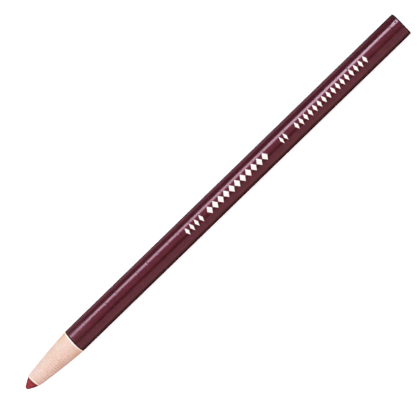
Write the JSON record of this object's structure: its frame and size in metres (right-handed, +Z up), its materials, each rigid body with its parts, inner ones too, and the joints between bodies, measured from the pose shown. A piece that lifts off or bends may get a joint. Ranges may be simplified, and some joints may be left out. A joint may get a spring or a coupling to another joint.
{
  "type": "china marker",
  "caption": "Peel-off china marker: a wax core in a rolled paper wrap that is slit into tear-off bands, with a pull string under the paper, a sharpened point and a lacquered barrel.",
  "frame": {"origin": "on the surface that the marker lies on, under the middle of its length", "axes": "+X along the marker from the point to the butt, +Z up, +Y across"},
  "size_m": [0.1714, 0.0088, 0.0087],
  "materials": {
    "crimson_wax": "satin",
    "cotton_string": "matte",
    "seal_lacquer": "gloss",
    "bare_paper": "matte",
    "lacquered_paper": "gloss"
  },
  "bodies": {
    "core": {"wax_core": "crimson_wax", "butt_seal": "seal_lacquer"},
    "string": {"pull_string": "cotton_string"},
    "band_01": {"peel_band_01": "bare_paper"},
    "band_02": {"peel_band_02": "bare_paper"},
    "band_03": {"peel_band_03": "bare_paper"},
    "band_04": {"peel_band_04": "lacquered_paper"},
    "band_05": {"peel_band_05": "lacquered_paper"},
    "band_06": {"peel_band_06": "lacquered_paper"},
    "band_07": {"peel_band_07": "lacquered_paper"},
    "band_08": {"peel_band_08": "lacquered_paper"},
    "band_09": {"peel_band_09": "lacquered_paper"},
    "band_10": {"peel_band_10": "lacquered_paper"},
    "band_11": {"peel_band_11": "lacquered_paper"},
    "band_12": {"peel_band_12": "lacquered_paper"},
    "band_13": {"peel_band_13": "lacquered_paper"},
    "band_14": {"peel_band_14": "lacquered_paper"},
    "band_15": {"peel_band_15": "lacquered_paper"},
    "band_16": {"peel_band_16": "lacquered_paper"},
    "band_17": {"peel_band_17": "lacquered_paper"},
    "band_18": {"peel_band_18": "lacquered_paper"},
    "band_19": {"peel_band_19": "lacquered_paper"},
    "band_20": {"peel_band_20": "lacquered_paper"},
    "band_21": {"peel_band_21": "lacquered_paper"},
    "band_22": {"peel_band_22": "lacquered_paper"},
    "band_23": {"peel_band_23": "lacquered_paper"},
    "band_24": {"peel_band_24": "lacquered_paper"},
    "band_25": {"peel_band_25": "lacquered_paper"},
    "band_26": {"peel_band_26": "lacquered_paper"},
    "band_27": {"peel_band_27": "lacquered_paper"},
    "band_28": {"peel_band_28": "lacquered_paper"},
    "band_29": {"peel_band_29": "lacquered_paper"},
    "band_30": {"peel_band_30": "lacquered_paper"},
    "band_31": {"peel_band_31": "lacquered_paper"},
    "band_32": {"peel_band_32": "lacquered_paper"},
    "band_33": {"peel_band_33": "lacquered_paper"},
    "band_34": {"peel_band_34": "lacquered_paper"},
    "band_35": {"peel_band_35": "lacquered_paper"}
  },
  "joints": [
    {"name": "draw_string", "type": "slide", "parent": "core", "child": "string", "axis": [-1, 0, 0], "range_m": [0, 0.16856]},
    {"name": "peel_01", "type": "slide", "parent": "band_02", "child": "band_01", "axis": [-1, 0, 0], "range_m": [0, 0.01074]},
    {"name": "peel_02", "type": "slide", "parent": "band_03", "child": "band_02", "axis": [-1, 0, 0], "range_m": [0, 0.00869]},
    {"name": "peel_03", "type": "slide", "parent": "band_04", "child": "band_03", "axis": [-1, 0, 0], "range_m": [0, 0.00869]},
    {"name": "peel_04", "type": "slide", "parent": "band_05", "child": "band_04", "axis": [-1, 0, 0], "range_m": [0, 0.00869]},
    {"name": "peel_05", "type": "slide", "parent": "band_06", "child": "band_05", "axis": [-1, 0, 0], "range_m": [0, 0.00869]},
    {"name": "peel_06", "type": "slide", "parent": "band_07", "child": "band_06", "axis": [-1, 0, 0], "range_m": [0, 0.00869]},
    {"name": "peel_07", "type": "slide", "parent": "band_08", "child": "band_07", "axis": [-1, 0, 0], "range_m": [0, 0.00869]},
    {"name": "peel_08", "type": "slide", "parent": "band_09", "child": "band_08", "axis": [-1, 0, 0], "range_m": [0, 0.00869]},
    {"name": "peel_09", "type": "slide", "parent": "band_10", "child": "band_09", "axis": [-1, 0, 0], "range_m": [0, 0.00869]},
    {"name": "peel_10", "type": "slide", "parent": "band_11", "child": "band_10", "axis": [-1, 0, 0], "range_m": [0, 0.00869]},
    {"name": "peel_11", "type": "slide", "parent": "band_12", "child": "band_11", "axis": [-1, 0, 0], "range_m": [0, 0.00869]},
    {"name": "peel_12", "type": "slide", "parent": "band_13", "child": "band_12", "axis": [-1, 0, 0], "range_m": [0, 0.00869]},
    {"name": "peel_13", "type": "slide", "parent": "band_14", "child": "band_13", "axis": [-1, 0, 0], "range_m": [0, 0.00869]},
    {"name": "peel_14", "type": "slide", "parent": "band_15", "child": "band_14", "axis": [-1, 0, 0], "range_m": [0, 0.00869]},
    {"name": "peel_15", "type": "slide", "parent": "band_16", "child": "band_15", "axis": [-1, 0, 0], "range_m": [0, 0.00869]},
    {"name": "peel_16", "type": "slide", "parent": "band_17", "child": "band_16", "axis": [-1, 0, 0], "range_m": [0, 0.00869]},
    {"name": "peel_17", "type": "slide", "parent": "band_18", "child": "band_17", "axis": [-1, 0, 0], "range_m": [0, 0.00869]},
    {"name": "peel_18", "type": "slide", "parent": "band_19", "child": "band_18", "axis": [-1, 0, 0], "range_m": [0, 0.00869]},
    {"name": "peel_19", "type": "slide", "parent": "band_20", "child": "band_19", "axis": [-1, 0, 0], "range_m": [0, 0.00869]},
    {"name": "peel_20", "type": "slide", "parent": "band_21", "child": "band_20", "axis": [-1, 0, 0], "range_m": [0, 0.00869]},
    {"name": "peel_21", "type": "slide", "parent": "band_22", "child": "band_21", "axis": [-1, 0, 0], "range_m": [0, 0.00869]},
    {"name": "peel_22", "type": "slide", "parent": "band_23", "child": "band_22", "axis": [-1, 0, 0], "range_m": [0, 0.00869]},
    {"name": "peel_23", "type": "slide", "parent": "band_24", "child": "band_23", "axis": [-1, 0, 0], "range_m": [0, 0.00869]},
    {"name": "peel_24", "type": "slide", "parent": "band_25", "child": "band_24", "axis": [-1, 0, 0], "range_m": [0, 0.00869]},
    {"name": "peel_25", "type": "slide", "parent": "band_26", "child": "band_25", "axis": [-1, 0, 0], "range_m": [0, 0.00869]},
    {"name": "peel_26", "type": "slide", "parent": "band_27", "child": "band_26", "axis": [-1, 0, 0], "range_m": [0, 0.00869]},
    {"name": "peel_27", "type": "slide", "parent": "band_28", "child": "band_27", "axis": [-1, 0, 0], "range_m": [0, 0.00869]},
    {"name": "peel_28", "type": "slide", "parent": "band_29", "child": "band_28", "axis": [-1, 0, 0], "range_m": [0, 0.00869]},
    {"name": "peel_29", "type": "slide", "parent": "band_30", "child": "band_29", "axis": [-1, 0, 0], "range_m": [0, 0.00869]},
    {"name": "peel_30", "type": "slide", "parent": "band_31", "child": "band_30", "axis": [-1, 0, 0], "range_m": [0, 0.00869]},
    {"name": "peel_31", "type": "slide", "parent": "band_32", "child": "band_31", "axis": [-1, 0, 0], "range_m": [0, 0.00869]},
    {"name": "peel_32", "type": "slide", "parent": "band_33", "child": "band_32", "axis": [-1, 0, 0], "range_m": [0, 0.00869]},
    {"name": "peel_33", "type": "slide", "parent": "band_34", "child": "band_33", "axis": [-1, 0, 0], "range_m": [0, 0.00869]},
    {"name": "peel_34", "type": "slide", "parent": "band_35", "child": "band_34", "axis": [-1, 0, 0], "range_m": [0, 0.00869]},
    {"name": "peel_35", "type": "slide", "parent": "core", "child": "band_35", "axis": [-1, 0, 0], "range_m": [0, 0.00754]}
  ]
}
